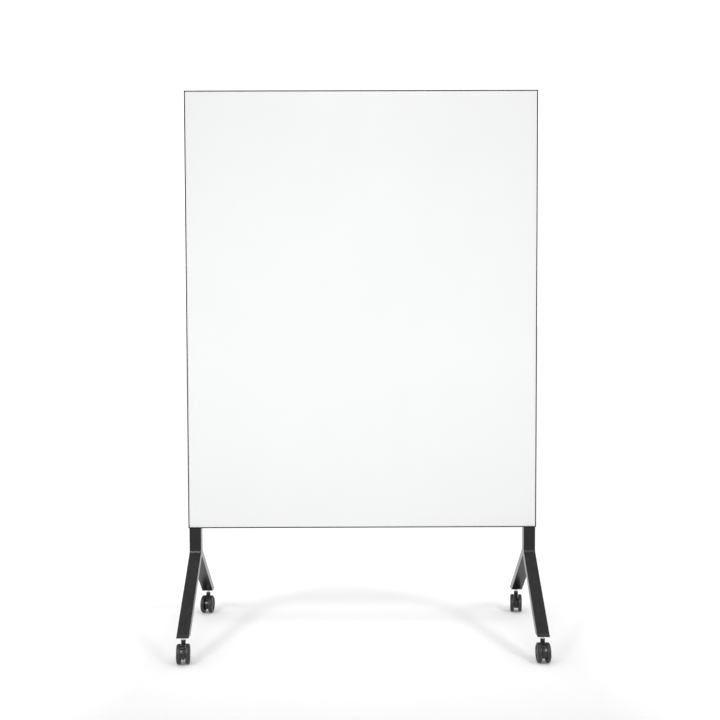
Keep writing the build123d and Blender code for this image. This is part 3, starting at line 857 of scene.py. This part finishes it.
@dataclass
class WritingBoard(SubAssembly):
    """The double-sided panel in its thin dark edge."""

    def build(self) -> None:
        """Dress the panel and put its screws in."""
        self.dress(WHITE_ENAMEL, "front_writing_sheet", "rear_writing_sheet")
        self.dress(CORE_FIBRE, "board_core")
        self.dress(ANODISED_ALONG_X, "edge_profile_top", "edge_profile_bottom")
        self.dress(ANODISED_ALONG_Z, "edge_profile_left", "edge_profile_right")
        self.dress(MILL_STEEL, "top_corner_brackets")
        ScrewSet(self.frame, "edge_profile_screws").build(BLACK_ZINC, "black_screws")


class Side(Enum):
    """Which end of the board."""

    LEFT = "left"
    RIGHT = "right"


class End(Enum):
    """Before or behind the board."""

    FRONT = "front"
    REAR = "rear"


@dataclass
class Leg(SubAssembly):
    """One inverted-Y leg with its joint into the board and its two foot caps."""

    side: Side = Side.LEFT
    cap_rounding: float = 0.0009
    cap_edge_angle: float = math.radians(40.0)
    stem_hole_reach: float = 0.007  # from the stem's middle, past its hole's edge

    def build(self) -> None:
        """Dress the welded leg and cap its feet."""
        side = self.side.value
        self.dress(BLACK_POWDER, f"{side}_column", f"{side}_column_plate")
        self.dress(BLACK_POWDER, f"{side}_front_arm", f"{side}_rear_arm")
        self.dress(MILL_STEEL, f"{side}_socket", f"{side}_spigot")
        ScrewSet(self.frame, f"{side}_spigot_screws").build(BLACK_ZINC, "black_screws")
        for end in End:
            self.cap(end)

    def cap(self, end: End) -> None:
        """Mould one foot cap with softened edges.

        Args:
            end: front or rear foot.
        """
        node = f"{self.side.value}_{end.value}_foot_plug"
        bm = MeshBench.cad_copy(self.frame["nodes"][node])
        arm_low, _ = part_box(f"{self.side.value}_{end.value}_arm")
        shown = [
            e for e in MeshBench.sharp_edges(bm, self.cap_edge_angle)
            if max(v.co.z for v in e.verts) < arm_low.z + SAME_PLACE
            and e.calc_length() > 0.0
            and not self.near_stem(e, end)
        ]
        MeshBench.rounded(bm, shown, self.cap_rounding, segments=3)
        # the foot finish paints a highlight line along these rounded edges
        self.stand_in(f"{node}_moulded", bm, FOOT_NYLON, "stand", "black_foot", [node])

    def near_stem(self, edge: bmesh.types.BMEdge, end: End) -> bool:
        """Tell whether an edge belongs to the hole for the caster's stem.

        Args:
            edge: an edge of the foot cap.
            end: front or rear foot.

        Returns:
            True for an edge of the hole.
        """
        low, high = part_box(f"{end.value}_{self.side.value}_stem")
        centre = (low + high) / 2
        return all((v.co.xy - centre.xy).length < self.stem_hole_reach for v in edge.verts)


@dataclass
class Caster(SubAssembly):
    """One swivelling twin-wheel caster."""

    end: End = End.FRONT
    side: Side = Side.LEFT
    steps: int = 96
    tyre_shoulder: float = 0.0054
    tyre_inner_shoulder: float = 0.0024
    tyre_seat_rounding: float = 0.0003
    mould_line: float = 0.00012
    band_depth: float = 0.0012  # below the tyre's top, where the running band starts
    band_fade: float = 0.001
    rim_depth: float = 0.0028
    rim_inset: float = 0.001  # from the tyre's sides
    rim_slope: float = 0.001
    bore_radius: float = 0.0041
    bore_end_inset: float = 0.0022
    hub_radius: float = 0.0082
    hub_inset: float = 0.0006
    hub_flare: float = 0.0016
    dimple_radius: float = 0.0034
    dimple_floor_radius: float = 0.0028
    dimple_depth: float = 0.0005
    disc_thickness: float = 0.0044
    dish: float = 0.0034
    bead_radius: float = 0.0155
    bead_width: float = 0.0016
    bead_height: float = 0.0004
    rib_count: int = 10
    rib_thickness: float = 0.0012
    rib_setback: float = 0.0012  # from the rim's inner edge
    rib_overlap: float = 0.0003  # into the hub and the rim
    rib_root: float = 0.0001  # into the disc
    rib_rounding: float = 0.0002
    edge_rounding: float = 0.0005
    lever_edge_angle: float = math.radians(50.0)
    corner: str = field(init=False)
    place: Matrix = field(init=False)

    def __post_init__(self) -> None:
        """Read where the caster stands from the record's joints."""
        self.corner = f"{self.end.value}_{self.side.value}"
        joints = {j["name"]: j for j in self.frame["joints"]}
        spin = joints[f"{self.corner}_outer_spin"]
        axle = Vector(spin["axis"]).normalized()
        ahead = Vector((0.0, 0.0, 1.0)).cross(axle)
        turn = Matrix((axle, ahead, Vector((0.0, 0.0, 1.0)))).transposed().to_4x4()
        self.place = Matrix.Translation(Vector(spin["pos_m"])) @ turn

    def local_box(self, node: str) -> tuple[Vector, Vector]:
        """A CAD node's lowest and highest corners, measured along the axle, ahead and up.

        Args:
            node: the node's name.

        Returns:
            The two corners, from the axle's middle.
        """
        back = self.place.inverted()
        xs, ys, zs = zip(*(back @ v.co for v in self.frame["nodes"][node].data.vertices))
        return Vector((min(xs), min(ys), min(zs))), Vector((max(xs), max(ys), max(zs)))

    def build(self) -> None:
        """Build the wheels and dress what holds them."""
        corner = self.corner
        self.dress(BLACK_NYLON, f"{corner}_body")
        self.dress(BRIGHT_ZINC, f"{corner}_stem", f"{corner}_axle")
        for position in ("outer", "inner"):
            self.build_tyre(position)
            self.build_wheel(position)
        if f"{corner}_brake_lever" in self.frame["nodes"]:
            self.build_lever()

    def facing(self, node: str) -> tuple[float, float, Matrix]:
        """Measure a wheel part as if its outer face looked along +X.

        Args:
            node: the tyre's or wheel's CAD node.

        Returns:
            Its inner and outer distance from the middle, and the matrix that puts it in place.
        """
        low, high = self.local_box(node)
        if low.x + high.x > 0.0:
            return low.x, high.x, self.place
        return -high.x, -low.x, self.place @ Matrix.Rotation(math.pi, 4, "Z")

    def build_tyre(self, position: str) -> None:
        """Turn one tyre with a rounded outer shoulder and a fine mould line.

        Args:
            position: outer or inner wheel of the pair.
        """
        node = f"{self.corner}_{position}_tyre"
        inner, outer, place = self.facing(node)
        radius = self.local_box(node)[1].z
        seat = self.local_box(f"{self.corner}_{position}_wheel")[1].z
        middle = (inner + self.tyre_inner_shoulder + outer - self.tyre_shoulder) / 2
        section = [
            (inner, seat), (inner, radius - self.mould_line),
            (middle - 2 * self.mould_line, radius - self.mould_line), (middle, radius),
            (middle + 2 * self.mould_line, radius - self.mould_line),
            (outer, radius - self.mould_line), (outer, seat),
        ]
        bm = MeshBench.turned(section, self.steps)
        for x, reach, at, segments in (
            (outer, self.tyre_shoulder, radius - self.mould_line, 8),
            (inner, self.tyre_inner_shoulder, radius - self.mould_line, 5),
            (outer, self.tyre_seat_rounding, seat, 2),
            (inner, self.tyre_seat_rounding, seat, 2),
        ):
            MeshBench.rounded(bm, MeshBench.ring(bm, x, at), reach, segments)
        layer = bm.verts.layers.float.new("running_band")
        for vert in bm.verts:
            share = (math.hypot(vert.co.y, vert.co.z) - (radius - self.band_depth)) / self.band_fade
            vert[layer] = min(1.0, max(0.0, share))
        bm.transform(place)
        body = f"{self.corner}_{position}_wheel"
        self.stand_in(f"{node}_turned", bm, TYRE_RUBBER, body, "black_tyre", [node])

    def build_wheel(self, position: str) -> None:
        """Turn one wheel core with its dimpled hub, and set ribs behind its disc.

        Args:
            position: outer or inner wheel of the pair.
        """
        node = f"{self.corner}_{position}_wheel"
        inner, _, place = self.facing(node)
        tyre_inner, tyre_outer, _ = self.facing(f"{self.corner}_{position}_tyre")
        seat = self.local_box(node)[1].z
        rim = seat - self.rim_depth
        rim_outer = tyre_outer - self.rim_inset
        rim_inner = tyre_inner + self.rim_inset
        face = tyre_outer - self.dish
        back = face - self.disc_thickness
        hub = self.hub_radius
        hub_face = tyre_outer - self.hub_inset
        dimple_floor = hub_face - self.dimple_depth
        bore_end = tyre_outer - self.bore_end_inset
        bead, half_bead = self.bead_radius, self.bead_width / 2
        bead_top = face + self.bead_height
        section = [
            (bore_end, 0.0), (bore_end, self.bore_radius), (inner, self.bore_radius), (inner, hub),
            (back, hub), (back, rim), (rim_inner, rim), (rim_inner, seat), (rim_outer, seat),
            (rim_outer, seat - self.rim_depth / 2), (face, rim - self.rim_slope),
            (face, bead + half_bead), (bead_top, bead + half_bead / 2),
            (bead_top, bead - half_bead / 2), (face, bead - half_bead),
            (face, hub + self.hub_flare), (hub_face, hub), (hub_face, self.dimple_radius),
            (dimple_floor, self.dimple_floor_radius), (dimple_floor, 0.0),
        ]
        core = MeshBench.turned(section, self.steps)
        for x, at in (
            (rim_outer, seat), (rim_outer, seat - self.rim_depth / 2), (hub_face, hub),
            (rim_inner, rim), (inner, hub),
        ):
            MeshBench.rounded(core, MeshBench.ring(core, x, at), self.edge_rounding, segments=3)
        parts = [core]
        length = rim - hub + 2 * self.rib_overlap
        depth = back - rim_inner - self.rib_setback
        size = (depth, self.rib_thickness, length)
        middle = (back - depth / 2 + self.rib_root, 0.0, hub + length / 2 - self.rib_overlap)
        for index in range(self.rib_count):
            turn = Matrix.Rotation(FULL_TURN * index / self.rib_count, 4, "X")
            rib = MeshBench.block(size, turn @ Matrix.Translation(middle), self.rib_rounding)
            parts.append(rib)
        bm = MeshBench.joined(parts)
        bm.transform(place)
        self.stand_in(f"{node}_ribbed", bm, BLACK_NYLON, node, "black_caster", [node])

    def build_lever(self) -> None:
        """Mould the brake lever with softened edges."""
        node = f"{self.corner}_brake_lever"
        bm = MeshBench.cad_copy(self.frame["nodes"][node])
        edges = MeshBench.sharp_edges(bm, self.lever_edge_angle)
        MeshBench.rounded(bm, edges, self.edge_rounding, segments=2)
        self.stand_in(f"{node}_moulded", bm, BLACK_NYLON, node, "black_caster", [node])


# ---- Studio ------------------------------------------------------------------------
@dataclass
class Softbox:
    """A rectangular studio light."""

    label: str
    stands: Triple
    looks_at: Triple
    width: float
    height: float
    watts: float
    spread: float = math.radians(40.0)
    highlights_only: bool = False  # it shows in gloss and lights nothing

    def build(self) -> None:
        """Set the light up."""
        lamp = bpy.data.lights.new(self.label, "AREA")
        lamp.shape = "RECTANGLE"
        lamp.size, lamp.size_y, lamp.energy = self.width, self.height, self.watts
        lamp.spread = self.spread
        stand = bpy.data.objects.new(self.label, lamp)
        way = Vector(self.looks_at) - Vector(self.stands)
        turn = way.to_track_quat("-Z", "Y").to_matrix().to_4x4()
        stand.matrix_world = Matrix.Translation(self.stands) @ turn
        stand.visible_camera = False
        stand.visible_diffuse = not self.highlights_only
        bpy.context.scene.collection.objects.link(stand)


@dataclass
class Studio:
    """Pale floor, soft light all round, and the camera."""

    floor_reach: float = 60.0
    floor_shades: Range = (0.88, 0.91)
    floor_speck_scale: float = 3.0
    floor_roughness: float = 0.9
    floor_specular: float = 0.1
    surround: float = 0.80
    backdrop: float = 1.25
    near_glow: float = 0.070  # the floor's own light, under the object
    far_glow: float = 0.36  # and beyond it
    side_glow: float = 0.22
    far_glow_reach: Range = (1.2, 4.0)  # from the middle all round, where it grows
    side_glow_reach: Range = (0.68, 1.00)  # from the middle sideways, where it grows
    back_glow_reach: Range = (0.27, 0.76)  # behind the board, where it grows
    camera_from: Triple = (-0.0160, -3.7194, 1.1356)
    camera_pitch: float = 0.04829
    camera_yaw: float = -0.00259
    camera_roll: float = -0.00306
    lens: float = 54.17  # millimetres, as is the sensor's width
    sensor_width: float = 36.0
    strip_spread: ClassVar[float] = math.radians(28.0)
    softboxes: tuple[Softbox, ...] = (
        Softbox("left_softbox", (-2.30, -3.10, 3.0), (-0.60, -0.2, 0.70), 0.8, 0.8, 3.0),
        Softbox("right_softbox", (2.70, -2.80, 3.0), (0.60, -0.2, 0.70), 0.8, 0.8, 3.0),
        Softbox("front_softbox", (0.0, -3.90, 3.2), (0.0, 0.0, 2.20), 1.2, 0.6, 3.0),
        Softbox("top_softbox", (0.0, -1.30, 3.3), (0.0, 0.25, 0.0), 2.4, 0.6, 1.2),
        Softbox("left_strip", (-1.73, -3.32, 3.0), (-0.58, 0.0, 0.25), 0.9, 1.6, 3.0, strip_spread, True),
        Softbox("right_strip", (1.96, -3.32, 3.0), (0.58, 0.0, 0.25), 0.8, 1.6, 1.6, strip_spread, True),
    )

    def build(self) -> None:
        """Set the studio up."""
        self.build_floor()
        self.build_surround()
        for softbox in self.softboxes:
            softbox.build()
        self.build_camera()

    def build_floor(self) -> None:
        """Lay the floor, which glows more beside, behind and far from the object."""
        bm = bmesh.new()
        bmesh.ops.create_grid(bm, x_segments=4, y_segments=4, size=self.floor_reach)
        mesh = bpy.data.meshes.new("studio_floor")
        bm.to_mesh(mesh)
        bm.free()
        paint = bpy.data.materials.new("studio_floor_paint")
        paint.use_nodes = True
        graph = Graph(paint.node_tree)
        shader = graph.add("ShaderNodeBsdfPrincipled")
        graph.feed(graph.add("ShaderNodeOutputMaterial").inputs["Surface"], shader.outputs["BSDF"])
        place = graph.add("ShaderNodeTexCoord").outputs["Object"]
        speck = graph.noise(place, self.floor_speck_scale, detail=3.0)
        darker, lighter = ((shade, shade, shade, 1.0) for shade in self.floor_shades)
        graph.feed(shader.inputs["Base Color"], graph.blend(speck, darker, lighter))
        shader.inputs["Roughness"].default_value = self.floor_roughness
        shader.inputs["Specular IOR Level"].default_value = self.floor_specular
        distance = graph.add("ShaderNodeVectorMath", operation="LENGTH")
        graph.feed(distance.inputs[0], place)
        split = graph.add("ShaderNodeSeparateXYZ")
        graph.feed(split.inputs[0], place)
        aside = graph.calculate("ABSOLUTE", split.outputs["X"])
        far = graph.spread(distance.outputs["Value"], *self.far_glow_reach, self.near_glow, self.far_glow)
        back = graph.spread(split.outputs["Y"], *self.back_glow_reach, self.near_glow, self.far_glow)
        beside = graph.spread(aside, *self.side_glow_reach, self.near_glow, self.side_glow)
        glow = graph.calculate("MAXIMUM", graph.calculate("MAXIMUM", far, back), beside)
        shader.inputs["Emission Color"].default_value = WHITE
        graph.feed(shader.inputs["Emission Strength"], glow)
        mesh.materials.append(paint)
        floor = bpy.data.objects.new("studio_floor", mesh)
        bpy.context.scene.collection.objects.link(floor)

    def build_surround(self) -> None:
        """Light from all sides; the camera itself sees a brighter backdrop."""
        world = bpy.data.worlds.new("studio_surround")
        bpy.context.scene.world = world
        world.use_nodes = True
        graph = Graph(world.node_tree)
        either = graph.add("ShaderNodeMixShader")
        graph.feed(either.inputs[0], graph.add("ShaderNodeLightPath").outputs["Is Camera Ray"])
        for place, strength in ((1, self.surround), (2, self.backdrop)):
            light = graph.add("ShaderNodeBackground")
            light.inputs["Strength"].default_value = strength
            light.inputs["Color"].default_value = WHITE
            graph.feed(either.inputs[place], light.outputs[0])
        graph.feed(graph.add("ShaderNodeOutputWorld").inputs["Surface"], either.outputs[0])

    def build_camera(self) -> None:
        """Stand the camera before the board, level with its middle and tipped slightly down."""
        lens = bpy.data.cameras.new("studio_camera")
        lens.lens, lens.sensor_width = self.lens, self.sensor_width
        camera = bpy.data.objects.new("studio_camera", lens)
        turn = (
            Matrix.Rotation(self.camera_yaw, 4, "Z")
            @ Matrix.Rotation(math.pi / 2 - self.camera_pitch, 4, "X")
            @ Matrix.Rotation(self.camera_roll, 4, "Z")
        )
        camera.matrix_world = Matrix.Translation(self.camera_from) @ turn
        bpy.context.scene.collection.objects.link(camera)
        bpy.context.scene.camera = camera
        bpy.context.scene.view_settings.view_transform = "Standard"


def clear_start_up_objects() -> None:
    """Remove what a new file holds, so that only the object and its studio are left."""
    for leftover in list(bpy.data.objects):
        bpy.data.objects.remove(leftover)


def main() -> None:
    """Build the whiteboard's looks and its studio."""
    clear_start_up_objects()
    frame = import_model()
    WritingBoard(frame).build()
    for side in Side:
        Leg(frame, side).build()
    for end in End:
        for side in Side:
            Caster(frame, end, side).build()
    SubAssembly(frame).dress(BRIGHT_ZINC, "kingpin_grip_rings")
    Studio().build()


if __name__ == "__main__":
    logging.basicConfig(level=logging.INFO, format="%(message)s")
    main()
